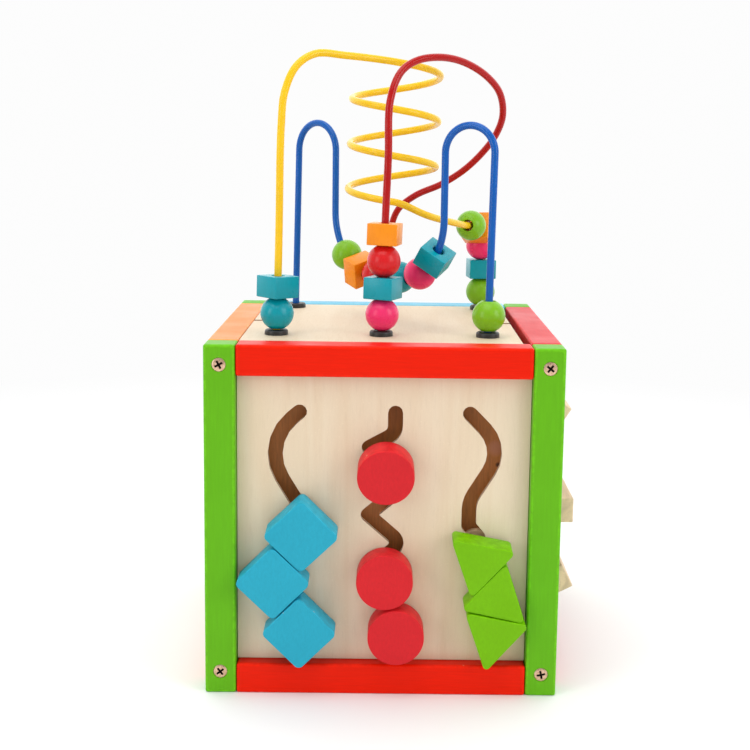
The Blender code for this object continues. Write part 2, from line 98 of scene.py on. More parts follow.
def noise(tree, place, scale, detail, roughness=0.5, distortion=0.0):
    inputs = {"Vector": place, "Scale": scale, "Detail": detail}
    inputs.update({"Roughness": roughness, "Distortion": distortion})
    return add(tree, "TexNoise", inputs).outputs[0]


def raise_surface(tree, shader, height, strength, distance):
    bump = add(tree, "Bump", {"Strength": strength, "Distance": distance, "Height": height})
    tree.links.new(bump.outputs[0], shader.inputs["Normal"])


def painted_wood(name, colour, grain=(1, 1, 0.06), roughness=0.42, gloss=0.15, worn=False):
    """Satin paint on planed wood: faint raised grain, small specks, cloudy coverage."""
    material, tree, shader = new_material(name, colour, roughness)
    shader.inputs["Specular IOR Level"].default_value = gloss
    place = add(tree, "TexCoord").outputs["Object"]
    stretched = add(tree, "Mapping", {"Vector": place, "Scale": grain}).outputs[0]
    fibre = noise(tree, stretched, 900, 5, 0.65)
    specks = noise(tree, place, 1500, 3, 0.7)
    cloud = noise(tree, place, 42, 3)
    tone = mix(tree, spread(tree, fibre, 0.36, 0.66), shade(colour, 0.94), shade(colour, 1.05))
    tone = mix(tree, spread(tree, specks, 0.56, 0.74, 0, 0.28), tone, shade(colour, 1.32))
    tone = mix(tree, spread(tree, cloud, 0.40, 0.66, 0, 0.35), tone, shade(colour, 0.90))
    if worn:
        edge = add(tree, "Attribute", attribute_name="edge").outputs["Fac"]
        chips = noise(tree, place, 210, 4, 0.7)
        thin = add(tree, "Math", {0: edge, 1: chips}, operation="MULTIPLY").outputs[0]
        tone = mix(tree, spread(tree, thin, 0.36, 0.62, 0, 0.40), tone, shade(colour, 1.7))
        tone = mix(tree, spread(tree, thin, 0.70, 0.72), tone, (*BARE_WOOD, 1))
    tree.links.new(tone, shader.inputs["Base Color"])
    sheen = spread(tree, cloud, 0.3, 0.7, roughness - 0.05, roughness + 0.08)
    tree.links.new(sheen, shader.inputs["Roughness"])
    raise_surface(tree, shader, fibre, 0.16, 0.1 * MM)
    return material


WELD = 1e-7  # points closer than this are one
SHARP_ANGLE = 32  # degrees


def linked(name, data):
    """A new object at the origin of the scene."""
    made = bpy.data.objects.new(name, data)
    bpy.context.scene.collection.objects.link(made)
    return made


def finished(name, form, material, body, replaces=(), smooth=SHARP_ANGLE):
    """Makes a piece from a bmesh that is already in its place, and fixes it to a body."""
    bmesh.ops.remove_doubles(form, verts=form.verts, dist=WELD)
    bmesh.ops.recalc_face_normals(form, faces=form.faces)
    mesh = bpy.data.meshes.new(name)
    form.to_mesh(mesh)
    form.free()
    mesh.shade_smooth()
    mesh.set_sharp_from_angle(angle=math.radians(smooth))
    mesh.materials.append(material)
    piece = linked(name, mesh)
    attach(piece, body)
    if replaces:
        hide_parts(*replaces)
    return piece


def bevelled(form, edges, offset, segments=3):
    bmesh.ops.bevel(
        form, geom=edges, offset=offset, segments=segments, profile=0.5, affect="EDGES", material=-1
    )


def block_form(low, high, edge):
    """A box between two corners with rounded edges."""
    low, high = Vector(low), Vector(high)
    form = bmesh.new()
    size = Matrix.Diagonal((*(high - low), 1))
    bmesh.ops.create_cube(form, size=1, matrix=Matrix.Translation((low + high) / 2) @ size)
    bevelled(form, form.edges[:], edge)
    return form


def carve(piece, form):
    """Cuts a form out of a piece, and keeps the result as the piece's mesh."""
    bmesh.ops.recalc_face_normals(form, faces=form.faces)
    mesh = bpy.data.meshes.new("cutter")
    form.to_mesh(mesh)
    form.free()
    cutter = linked("cutter", mesh)
    boolean = piece.modifiers.new("cut", "BOOLEAN")
    boolean.operation = "DIFFERENCE"
    boolean.solver = "EXACT"
    boolean.object = cutter
    bpy.context.view_layer.update()
    shaped = piece.evaluated_get(bpy.context.evaluated_depsgraph_get())
    result = bpy.data.meshes.new_from_object(shaped)
    piece.modifiers.remove(boolean)
    old, piece.data = piece.data, result
    bpy.data.meshes.remove(old)
    bpy.data.objects.remove(cutter)
    bpy.data.meshes.remove(mesh)
    result.shade_smooth()
    result.set_sharp_from_angle(angle=math.radians(SHARP_ANGLE))


def rod_form(radius, start, end, segments=32):
    """A round rod from start to end."""
    start, end = Vector(start), Vector(end)
    turn = Vector((0, 0, 1)).rotation_difference(end - start).to_matrix().to_4x4()
    form = bmesh.new()
    bmesh.ops.create_cone(
        form,
        cap_ends=True,
        segments=segments,
        radius1=radius,
        radius2=radius,
        depth=(end - start).length,
        matrix=Matrix.Translation((start + end) / 2) @ turn,
    )
    return form


BAR_EDGE = 1.3 * MM
EDGE_BAND = 2.6 * MM  # how far in from an edge the paint is thin
DOWEL_HOLE_RADIUS, DOWEL_HOLE_DEPTH = 4.1 * MM, 8.4 * MM
ALONG_X, ALONG_Y = (0.06, 1, 1), (1, 0.06, 1)  # which way the grain is drawn out
RAILS = {
    "front": (ORANGE_RED, "orange_red_paint", ALONG_X),
    "back": (SKY, "sky_blue_paint", ALONG_X),
    "left": (ORANGE, "orange_paint", ALONG_Y),
    "right": (CRIMSON, "crimson_paint", ALONG_Y),
}
green_paint = painted_wood("green_bar_paint", GREEN, worn=True)
bars = {}
for end in ("front", "back"):
    for side in ("left", "right"):
        bars[f"post_{end}_{side}"] = (green_paint, "green_paint")
for face, (colour, slot, grain) in RAILS.items():
    rail_paint = painted_wood(f"{face}_rail_paint", colour, grain, 0.36, 0.1, worn=True)
    for level in ("top", "base"):
        bars[f"{level}_rail_{face}"] = (rail_paint, slot)

posts = {}
for node, (material, slot) in bars.items():
    low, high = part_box(node)
    form = block_form(low, high, BAR_EDGE)
    for axis in range(3):
        for side, sign in ((low, 1), (high, -1)):
            plane = Vector(side)
            plane[axis] += sign * EDGE_BAND
            normal = Vector((0, 0, 0))
            normal[axis] = 1
            parts = form.verts[:] + form.edges[:] + form.faces[:]
            bmesh.ops.bisect_plane(form, geom=parts, dist=WELD, plane_co=plane, plane_no=normal)
    band = form.verts.layers.float.new("edge")
    for vert in form.verts:
        depths = sorted(min(vert.co[k] - low[k], high[k] - vert.co[k]) for k in range(3))
        vert[band] = 1.0 if depths[1] < BAR_EDGE * 1.02 else 0.0
    piece = finished(f"beech_{node}", form, material, "cube", [node], smooth=60)
    posts[node] = piece
    if node in ("post_front_right", "post_back_right"):
        front = node == "post_front_right"
        inner = high.y if front else low.y
        reach = -DOWEL_HOLE_DEPTH if front else DOWEL_HOLE_DEPTH
        for row in (1, 2, 3):
            axle_low, axle_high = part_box(f"tile_dowel_{row}")
            centre = (axle_low + axle_high) / 2
            start = (centre.x, inner - reach, centre.z)
            carve(piece, rod_form(DOWEL_HOLE_RADIUS, start, (centre.x, inner + reach, centre.z)))

# --- Corner screws -------------------------------------------------------------------------
# Four countersunk wood screws with a cross recess, zinc plated with a warm yellow passivate,
# driven through the front posts into the rails and left just under the paint.

SCREW_Y = -100 * MM
SCREW_X = 91.4 * MM
SCREW_HEIGHTS, LEVEL_NAMES = (12.5 * MM, 189.7 * MM), ("base", "top")
SCREW_SEGMENTS = 40
SCREW_TURNS = {(-1, 0): 38, (1, 0): 12, (-1, 1): 28, (1, 1): 52}  # degrees each recess is turned
RECESS = (4.9 * MM, 1.25 * MM, 2.2 * MM)  # length, width and depth of each arm of the cross
RECESS_HEIGHT = -0.7 * MM
PAINTED_SHADE_FROM, PAINTED_SHADE_FULL = -99.25 * MM, -98.95 * MM  # painted shade: the recess's colour turns almost black between these depths
RECESS_PAINTED_SHADE = (0.012, 0.009, 0.007, 1)
SINK = (  # radius and height of the countersink's corners, in millimetres
    (0, -2.6), (3.0, -2.6), (4.25, 0.05), (4.25, 1), (0, 1),
)
HEAD = (
    (0, -2.4), (1.6, -2.4), (3.9, -0.75), (3.9, -0.55), (3.7, -0.42), (2.4, -0.26),
    (1.2, -0.20), (0, -0.18),
)

plating, tree, shader = new_material("yellow_zinc_plating", (0.66, 0.52, 0.34), 0.30)
shader.inputs["Metallic"].default_value = 1.0
place = add(tree, "TexCoord").outputs["Object"]
scuff = noise(tree, place, 900, 4, 0.6)
tone = mix(tree, spread(tree, scuff, 0.35, 0.7), (0.60, 0.37, 0.24, 1), (0.86, 0.60, 0.44, 1))
depth = add(tree, "SeparateXYZ", {0: place}).outputs[1]
# Painted shade: the plating's colour goes almost black down in the cross recess.
tone = mix(tree, spread(tree, depth, PAINTED_SHADE_FROM, PAINTED_SHADE_FULL), tone, RECESS_PAINTED_SHADE)
tree.links.new(tone, shader.inputs["Base Color"])
tree.links.new(spread(tree, scuff, 0.3, 0.7, 0.22, 0.42), shader.inputs["Roughness"])


def spun(profile, segments, matrix=Matrix()):
    """A turned form: a closed profile of (radius, height) points spun about +Z, then placed."""
    form = bmesh.new()
    rim = [form.verts.new((radius, 0, height)) for radius, height in profile]
    pairs = zip(rim, rim[1:] + rim[:1])
    edges = [form.edges.new((a, b)) for a, b in pairs if a.co.x + b.co.x > 0]
    bmesh.ops.spin(
        form, geom=rim + edges, cent=(0, 0, 0), axis=(0, 0, 1), angle=math.tau, steps=segments,
        use_merge=True,
    )
    bmesh.ops.remove_doubles(form, verts=form.verts, dist=WELD)
    bmesh.ops.recalc_face_normals(form, faces=form.faces)
    bmesh.ops.transform(form, matrix=matrix, verts=form.verts)
    return form


for side in (-1, 1):
    side_name = "left" if side < 0 else "right"
    for level, z in enumerate(SCREW_HEIGHTS):
        spot = Matrix.Translation((side * SCREW_X, SCREW_Y, z))
        out = spot @ Matrix.Rotation(math.pi / 2, 4, "X")
        sink = [(radius * MM, height * MM) for radius, height in SINK]
        carve(posts[f"post_front_{side_name}"], spun(sink, SCREW_SEGMENTS, out))
        head = spun([(radius * MM, height * MM) for radius, height in HEAD], SCREW_SEGMENTS, out)
        screw = finished(f"screw_{side_name}_{LEVEL_NAMES[level]}", head, plating, "cube")
        turn = Matrix.Rotation(math.radians(SCREW_TURNS[side, level]), 4, "Z")
        for quarter in (0, 90):
            across = turn @ Matrix.Rotation(math.radians(quarter), 4, "Z")
            arm = out @ across @ Matrix.Translation((0, 0, RECESS_HEIGHT))
            recess = bmesh.new()
            bmesh.ops.create_cube(recess, size=1, matrix=arm @ Matrix.Diagonal((*RECESS, 1)))
            carve(screw, recess)

# --- Plywood panels ------------------------------------------------------------------------
# Thin birch plywood with a pale rotary-cut face and clear matt lacquer. The front panel has
# three routed slots, and the top panel lies loose in its frame, pushed to the left.

BIRCH = (0.72, 0.605, 0.445)
BIRCH_DEEP = (0.63, 0.50, 0.345)
PLY_DARK = (0.36, 0.20, 0.10)
PLY_PITCH = 2.6 * MM  # from one dark ply to the next


def plywood(name, face_axis, grain, light=1.0):
    """Birch plywood whose face looks along face_axis. The plies show on its cut edges. light scales
    the face's colours; below 1 it paints shade into that panel's copy.
    """
    material, tree, shader = new_material(name, BIRCH, 0.55)
    place = add(tree, "TexCoord").outputs["Object"]
    stretched = add(tree, "Mapping", {"Vector": place, "Scale": grain}).outputs[0]
    figure = noise(tree, stretched, 55, 5, 0.6, 0.8)
    pores = noise(tree, stretched, 1100, 4, 0.7)
    flecks = noise(tree, place, 900, 2, 0.8)
    cloud = noise(tree, place, 18, 2)
    pale, deep = shade(BIRCH, 1.04 * light), shade(BIRCH_DEEP, 1.12 * light)
    tone = mix(tree, spread(tree, figure, 0.40, 0.68), pale, deep)
    layers = (
        (spread(tree, pores, 0.52, 0.74, 0, 0.26), shade(BIRCH_DEEP, 0.88 * light)),
        (spread(tree, flecks, 0.60, 0.72, 0, 0.5), shade(BIRCH, 1.16 * light)),
        (spread(tree, cloud, 0.35, 0.7, 0, 0.35), shade(BIRCH_DEEP, 1.05 * light)),
    )
    for cover, layer in layers:
        tone = mix(tree, cover, tone, layer)
    facing = add(tree, "NewGeometry").outputs["Normal"]
    normal = add(tree, "SeparateXYZ", {0: facing}).outputs[face_axis]
    turned = add(tree, "Math", {0: normal}, operation="ABSOLUTE").outputs[0]
    depth = add(tree, "SeparateXYZ", {0: place}).outputs[face_axis]
    plies = add(tree, "Math", {0: depth, 1: math.tau / PLY_PITCH}, operation="MULTIPLY").outputs[0]
    band = add(tree, "Math", {0: plies}, operation="SINE").outputs[0]
    edge = mix(tree, spread(tree, band, -0.35, 0.35), shade(BIRCH, 0.92), (*PLY_DARK, 1))
    tone = mix(tree, spread(tree, turned, 0.75, 0.6), tone, edge)
    tree.links.new(tone, shader.inputs["Base Color"])
    tree.links.new(spread(tree, pores, 0.3, 0.7, 0.48, 0.64), shader.inputs["Roughness"])
    raise_surface(tree, shader, pores, 0.2, 0.1 * MM)
    return material


def repaint(node, material):
    """Gives a node of the frame another material, and keeps its shape."""
    nodes[node].data.materials.clear()
    nodes[node].data.materials.append(material)


repaint("front_wall", plywood("front_birch_plywood", 1, (1, 1, 0.09)))
repaint("back_wall", plywood("back_birch_plywood", 1, (1, 1, 0.09)))
repaint("left_wall", plywood("left_birch_plywood", 0, (1, 1, 0.09)))
# Painted shade: the top panel's face is the same birch, coloured a little darker for the light that
# falls on its top.
repaint("top_panel", plywood("top_birch_plywood", 2, (1, 0.09, 1), 0.94))
repaint("base_panel", plywood("base_birch_plywood", 2, (1, 0.09, 1)))

# --- Slot backing --------------------------------------------------------------------------
# A thin board stained dark brown that closes the slots from behind, so that the sliders'
# retaining discs run between it and the front panel.

BROWN = (0.58, 0.215, 0.052)

KNOTS = (  # centre, radius and colour of the pale patch and dark spot behind the right slot
    ((0.0640, -0.0798, 0.1400), 5.5 * MM, (0.62, 0.26, 0.14, 1)),
    ((0.0655, -0.0798, 0.1302), 1.8 * MM, (0.03, 0.012, 0.006, 1)),
)
stain, tree, shader = new_material("brown_stain", BROWN, 0.6)
place = add(tree, "TexCoord").outputs["Object"]
stretched = add(tree, "Mapping", {"Vector": place, "Scale": (1, 1, 0.12)}).outputs[0]
fibre = noise(tree, stretched, 700, 5, 0.7)
patch = noise(tree, place, 60, 2)
tone = mix(tree, spread(tree, fibre, 0.35, 0.68), shade(BROWN, 0.85), shade(BROWN, 1.18))
tone = mix(tree, spread(tree, patch, 0.5, 0.72, 0, 0.4), tone, shade(BROWN, 1.25))
for spot, radius, colour in KNOTS:
    away = add(tree, "VectorMath", {0: place, 1: spot}, operation="DISTANCE").outputs["Value"]
    tone = mix(tree, spread(tree, away, 0.4 * radius, radius, 0.85, 0), tone, colour)
tree.links.new(tone, shader.inputs["Base Color"])
raise_surface(tree, shader, fibre, 0.25, 0.2 * MM)
repaint("slot_backing_board", stain)

# --- Maze wires ----------------------------------------------------------------------------
# Three lengths of steel wire in a glossy coloured plastic coat, each bent cold to its route
# and pushed through the top panel at both ends.

WIRE = 4.4 * MM
WIRE_END = 193.7 * MM
WIRE_STEP = 2.5 * MM  # between the points of a free curve
COIL_STEPS, BEND_STEPS, ARCH_STEPS = 72, 27, 36  # in a turn, a quarter bend and a half circle
YELLOW_FRONT = (
    (-63.3, -57, None), (-61.9, -57, 258), (-60.6, -57, 322), (-58.8, -56, 339.5),
    (-52.5, -53, 354), (-42.0, -48, 361.4), (-25.0, -38, 361.3), (-8.0, -27.5, 360.3),
)
COIL_RADIUS, COIL_PITCH, COIL_Y = 26.7 * MM, 27.4 * MM, 5 * MM
COIL_LEAN, COIL_TURNS = 0.038, 3.03  # the lean is sideways travel per unit of drop
COIL_TOP = (5.3 * MM, 358.9 * MM)
YELLOW_BACK = ((24.0, -13.5, 268.5), (39.5, 5, 263.5), (50.0, 24, 260.3))
YELLOW_BACK_FOOT = (63.8, 67)
BEND_RADIUS, BEND_Z = 24 * MM, 235 * MM
BEND_WAY = Vector((-0.28, -0.96, 0)).normalized()
RED_ROUTE = (
    (-2.4, -57, None), (-0.9, -57, 265), (0.4, -57, 304), (1.0, -56, 335), (6.5, -50.5, 351.0),
    (15.5, -43, 358.4), (28.4, -34, 361.3), (43.0, -22, 359.9), (58.5, -8, 352.6), (68.3, 4, 342.5),
    (71.2, 14, 329.5), (67.8, 22, 317.5), (60.5, 30, 306.5), (49.5, 38, 295.2), (35.5, 46, 285.6),
    (18.5, 55, 277.5), (7.5, 62, 268.0), (3.0, 66.5, 256.0), (1.2, 67, 235.0), (0.0, 67, None),
)
BLUE_BACK_FOOT, BLUE_FRONT_FOOT = (-61.0, 67), (59.6, -57)
BLUE_BACK_ARCH = ((-58.9, 67), (-33.5, 42.0), 306)
BLUE_FRONT_ARCH = ((33.6, -42.0), (61.2, -57), 306.6)
DIP_BOTTOM, DIP_RADIUS = 229.5 * MM, 38 * MM
DIP_START = Vector((-33.5, 42.0, 0)) * MM
DIP_END = Vector((33.6, -42.0, 0)) * MM
DIP_WAY = (DIP_END - DIP_START).normalized()
DIP_LENGTH = (DIP_END - DIP_START).length


def route(points):
    """Millimetre points as vectors. A height of None is a wire's end under the top panel."""
    return [Vector((x * MM, y * MM, WIRE_END if z is None else z * MM)) for x, y, z in points]


def between(p, q, low, high, t):
    """The point on the way from p, at knot low, to q, at knot high."""
    return p * ((high - t) / (high - low)) + q * ((t - low) / (high - low))


def smooth_through(points):
    """Points a step apart on a Catmull-Rom curve through the given ones."""
    padded = [2 * points[0] - points[1], *points, 2 * points[-1] - points[-2]]
    run = []
    for a, b, c, d in zip(padded, padded[1:], padded[2:], padded[3:]):
        count = max(1, round((c - b).length / WIRE_STEP))
        spans = ((a, b), (b, c), (c, d))
        knots = [0.0]
        for start, end in spans:
            knots.append(knots[-1] + math.sqrt((end - start).length))
        for index in range(count):
            t = knots[1] + (knots[2] - knots[1]) * index / count
            near = [between(*span, knots[i], knots[i + 1], t) for i, span in enumerate(spans)]
            mid = [between(near[i], near[i + 1], knots[i], knots[i + 2], t) for i in range(2)]
            run.append(between(mid[0], mid[1], knots[1], knots[2], t))
    return [*run, points[-1]]


def arc(centre, first, second, start, end, count):
    """Points on a circle from start to end degrees, counted from first towards second."""
    angles = [math.radians(start + (end - start) * index / count) for index in range(count + 1)]
    return [centre + first * math.cos(angle) + second * math.sin(angle) for angle in angles]


def coil():
    """The yellow wire's coil, which winds down from its front, anticlockwise seen from above."""
    points = []
    count = round(COIL_TURNS * COIL_STEPS)
    for index in range(count + 1):
        turns = COIL_TURNS * index / count
        angle = math.tau * turns - math.pi / 2
        drop = COIL_PITCH * turns
        x = COIL_TOP[0] - COIL_LEAN * drop + COIL_RADIUS * math.cos(angle)
        points.append(Vector((x, COIL_Y + COIL_RADIUS * math.sin(angle), COIL_TOP[1] - drop)))
    return points


def arch(legs):
    """A half circle standing on two legs that are as high as each other."""
    (x1, y1), (x2, y2), z = legs
    start, end = Vector((x1, y1, z)) * MM, Vector((x2, y2, z)) * MM
    middle, up = (start + end) / 2, Vector((0, 0, (end - start).length / 2))
    return arc(middle, start - middle, up, 0, 180, ARCH_STEPS)


def dip_point(along, height):
    """A point in the plane of the blue wire's dip."""
    return DIP_START + DIP_WAY * along + Vector((0, 0, height))


def yellow_path():
    turned = coil()
    foot = route([(*YELLOW_BACK_FOOT, None)])[0]
    side = BEND_WAY * BEND_RADIUS
    centre = Vector((foot.x, foot.y, BEND_Z)) + side
    bend = arc(centre, Vector((0, 0, BEND_RADIUS)), -side, 0, 90, BEND_STEPS)
    front = smooth_through([*route(YELLOW_FRONT), turned[0], turned[3]])
    joined = smooth_through([turned[-4], turned[-1], *route(YELLOW_BACK), bend[0], bend[3]])
    return front[:-4] + turned[2:-4] + joined[1:-4] + bend + [foot]


def blue_path():
    ends = route([(*BLUE_BACK_FOOT, None), (*BLUE_FRONT_FOOT, None)])
    up, side = Vector((0, 0, DIP_RADIUS)), DIP_WAY * DIP_RADIUS
    height = DIP_BOTTOM + DIP_RADIUS
    first = arc(dip_point(DIP_RADIUS, height), -side, -up, 0, 90, BEND_STEPS)
    last = arc(dip_point(DIP_LENGTH - DIP_RADIUS, height), -up, side, 0, 90, BEND_STEPS)
    return [ends[0], *arch(BLUE_BACK_ARCH), *first, *last, *arch(BLUE_FRONT_ARCH), ends[1]]


def plastic_coat(name, colour):
    """Glossy dipped plastic with a faint orange-peel skin."""
    material, tree, shader = new_material(name, colour, 0.18)
    shader.inputs["Specular IOR Level"].default_value = 0.28
    place = add(tree, "TexCoord").outputs["Object"]
    skin = noise(tree, place, 420, 2)
    cloud = spread(tree, noise(tree, place, 60, 2), 0.35, 0.7)
    tone = mix(tree, cloud, shade(colour, 1.03), shade(colour, 0.95))
    tree.links.new(tone, shader.inputs["Base Color"])
    tree.links.new(spread(tree, skin, 0.3, 0.7, 0.15, 0.22), shader.inputs["Roughness"])
    raise_surface(tree, shader, skin, 0.05, 0.1 * MM)
    return material


wire_tints = {
    "yellow": (0.84, 0.52, 0.012), "red": (0.40, 0.004, 0.004), "blue": (0.003, 0.095, 0.40),
}
red_path = smooth_through(route(RED_ROUTE))
wire_paths = {"yellow": yellow_path(), "red": red_path, "blue": blue_path()}
for colour, tint in wire_tints.items():
    curve = bpy.data.curves.new(f"coated_{colour}_wire", "CURVE")
    curve.dimensions = "3D"
    curve.bevel_depth = WIRE / 2
    curve.bevel_resolution = 6
    curve.use_fill_caps = True
    spline = curve.splines.new("POLY")
    spline.points.add(len(wire_paths[colour]) - 1)
    for point, spot in zip(spline.points, wire_paths[colour]):
        point.co = (*spot, 1)
    spline.use_smooth = True
    curve.materials.append(plastic_coat(f"{colour}_plastic_coat", tint))
    coated = linked(f"coated_{colour}_wire", curve)
    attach(coated, "cube")
    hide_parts(f"{colour}_wire")

# --- Foot rings ----------------------------------------------------------------------------
# Six moulded black plastic rings, pressed over the wire ends where they enter the top panel.

RING_RADIUS, RING_BORE, RING_HEIGHT = 6.8 * MM, 2.3 * MM, 3.1 * MM  # the bore as a radius
RING_ROUND, RING_FLARE, RING_FLARE_DEPTH = 1.3 * MM, 1.1 * MM, 0.7 * MM
ring_black, tree, shader = new_material("black_ring_plastic", (0.012, 0.012, 0.013), 0.38)
place = add(tree, "TexCoord").outputs["Object"]
skin = noise(tree, place, 600, 3)
tree.links.new(spread(tree, skin, 0.3, 0.7, 0.30, 0.50), shader.inputs["Roughness"])
top_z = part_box("top_panel")[1].z
feet = {
    "yellow_front": YELLOW_FRONT[0], "yellow_back": YELLOW_BACK_FOOT, "red_front": RED_ROUTE[0],
    "red_back": RED_ROUTE[-1], "blue_back": BLUE_BACK_FOOT, "blue_front": BLUE_FRONT_FOOT,
}
ring_rim = [(RING_BORE, 0), (RING_RADIUS, 0)]
for step in range(7):
    angle = math.radians(90 * step / 6)
    across = RING_RADIUS - RING_ROUND * (1 - math.cos(angle))
    ring_rim.append((across, RING_HEIGHT - RING_ROUND * (1 - math.sin(angle))))
ring_rim.append((RING_BORE + RING_FLARE, RING_HEIGHT))
ring_rim.append((RING_BORE, RING_HEIGHT - RING_FLARE_DEPTH))
for foot_name, spot in feet.items():
    form = spun(ring_rim, 40, Matrix.Translation((spot[0] * MM, spot[1] * MM, top_z)))
    finished(f"foot_ring_{foot_name}", form, ring_black, "cube", smooth=40)

# --- Beads ---------------------------------------------------------------------------------
# Eighteen turned balls and sawn square blocks of beech, drilled clearly wider than the wire,
# tumbled in paint, so that the colour goes a little way into the bores.

BALL, BLOCK_SIDE, BLOCK_HEIGHT, BEAD_BORE = 19.4 * MM, 17.5 * MM, 12.5 * MM, 7.2 * MM
BALL_HALF = math.sqrt((BALL / 2) ** 2 - (BEAD_BORE / 2) ** 2)  # from the middle to a bore's mouth
GAP = 0.3 * MM  # between touching pieces
PANEL_TOP = 200.7 * MM
TOP_TO_BEAD = PANEL_TOP + RING_HEIGHT - WIRE_END  # along a wire, from its end to the first bead
bead_tints = {
    "teal": (0.0, 0.31, 0.38), "pink": (0.80, 0.030, 0.15), "red": (0.62, 0.008, 0.011),
    "orange": (0.87, 0.27, 0.006), "green": (0.19, 0.46, 0.010),
}
bead_paints = {
    name: painted_wood(f"{name}_bead_coat", tint, (1, 1, 0.2), 0.26, 0.3)
    for name, tint in bead_tints.items()
}
STACKS = {  # shape, colour, turn in degrees and free room below in millimetres, from the foot up
    "front_left": (("ball", "teal", 0, 0), ("block", "teal", 44, 0)),
    "front_middle": (
        ("ball", "pink", 0, 0), ("block", "teal", -22, 0), ("ball", "red", 0, 0),
        ("block", "orange", -11.5, 0),
    ),
    "front_right": (("ball", "green", 0, 0),),
    "back_right": (
        ("ball", "green", 0, 0), ("block", "teal", 6, 0), ("ball", "pink", 0, 1.0),
        ("block", "orange", -14, 2.8), ("ball", "green", 0, 2.0),
    ),
}
DIP_BEADS = {  # shape, colour, degrees up the bend (below 0 on the flat) and turn in degrees
    "dip_left": (
        ("ball", "red", -9.8, 0), ("block", "orange", 16.0, 22), ("ball", "green", 42.2, 0),
    ),
    "dip_right": (
        ("ball", "teal", -3.5, 0), ("ball", "pink", 26.5, 0), ("block", "teal", 52.5, -22),
    ),
}
MOUTH_LIP, MOUTH_DEPTH = 0.55 * MM, 0.6 * MM  # how a ball's bore opens at its mouth
DRILL_FLARE = 0.6 * MM


def ball_form(matrix):
    """A ball with a bore along Z, whose mouth is a little rounded."""
    radius, bore = BALL / 2, BEAD_BORE / 2
    start = math.acos((bore + MOUTH_LIP) / radius)
    steps = 26
    rim = []
    for index in range(steps + 1):
        angle = start - 2 * start * index / steps
        rim.append((radius * math.cos(angle), radius * math.sin(angle)))
    mouth = radius * math.sin(start)
    rim += [(bore + 0.15 * MM, -mouth + 0.08 * MM), (bore, -mouth + MOUTH_DEPTH)]
    rim += [(bore, mouth - MOUTH_DEPTH), (bore + 0.15 * MM, mouth - 0.08 * MM)]
    return spun(rim, 48, matrix)


def drill_form(diameter, half, matrix):
    """What a drill takes out of a block from -half to half on Z, with both mouths eased."""
    bore = diameter / 2
    flare = bore + DRILL_FLARE
    cut = [(0, -half - MM), (flare, -half - MM), (flare, -half), (bore, -half + DRILL_FLARE)]
    cut += [(bore, half - DRILL_FLARE), (flare, half), (flare, half + MM), (0, half + MM)]
    return spun(cut, 40, matrix)


def bead(node, shape, colour, centre, way, turn):
    """A ball or block with its bore along way, turned about it by turn degrees."""
    upright = Vector((0, 0, 1)).rotation_difference(way).to_matrix().to_4x4()
    matrix = Matrix.Translation(centre) @ upright @ Matrix.Rotation(math.radians(turn), 4, "Z")
    name, paint, slot = f"turned_{node}", bead_paints[colour], f"{colour}_bead_paint"
    if shape == "ball":
        finished(name, ball_form(matrix), paint, node, [node])
        return
    half = Vector((BLOCK_SIDE, BLOCK_SIDE, BLOCK_HEIGHT)) / 2
    form = block_form(-half, half, 0.5 * MM)
    bmesh.ops.transform(form, matrix=matrix, verts=form.verts)
    block = finished(name, form, paint, node, [node], smooth=60)
    carve(block, drill_form(BEAD_BORE, BLOCK_HEIGHT / 2, matrix))


def half_length(shape):
    return BALL_HALF if shape == "ball" else BLOCK_HEIGHT / 2


def walk(points, distance):
    """The point at a distance along a run of points."""
    for start, end in zip(points, points[1:]):
        length = (end - start).length
        if distance <= length:
            return start.lerp(end, distance / length)
        distance -= length
    return points[-1]


stack_wires = {
    "front_left": wire_paths["yellow"], "front_middle": wire_paths["red"],
    "front_right": wire_paths["blue"][::-1], "back_right": wire_paths["yellow"][::-1],
}
for place_name, beads in STACKS.items():
    distance = TOP_TO_BEAD
    for number, (shape, colour, turn, free) in enumerate(beads, 1):
        half = half_length(shape)
        distance += GAP + free * MM + half
        wire = stack_wires[place_name]
        low, middle, high = (walk(wire, distance + step) for step in (-half, 0, half))
        centre = (low + high) / 4 + middle / 2
        node = f"{place_name}_bead_{number}_{colour}_{shape}"
        bead(node, shape, colour, centre, high - low, turn)
        distance += half
dip_sides = (("dip_left", DIP_RADIUS, -DIP_WAY), ("dip_right", DIP_LENGTH - DIP_RADIUS, DIP_WAY))
for side, along, out in dip_sides:
    middle = dip_point(along, DIP_BOTTOM + DIP_RADIUS)
    for number, (shape, colour, angle, turn) in enumerate(DIP_BEADS[side], 1):
        flat = out * DIP_RADIUS * math.radians(min(angle, 0))
        angle = math.radians(max(angle, 0))
        half = half_length(shape)
        radius = DIP_RADIUS * (1 + math.cos(half / DIP_RADIUS)) / 2
        spot = middle + flat + (out * math.sin(angle) - Vector((0, 0, math.cos(angle)))) * radius
        way = out * math.cos(angle) + Vector((0, 0, math.sin(angle)))
        bead(f"{side}_bead_{number}_{colour}_{shape}", shape, colour, spot, way, turn)

# --- Sliders -------------------------------------------------------------------------------
# Nine thick sawn shapes, painted all over, each glued to a bare dowel peg that runs in a slot
# and ends in a bare retaining disc behind the front panel.

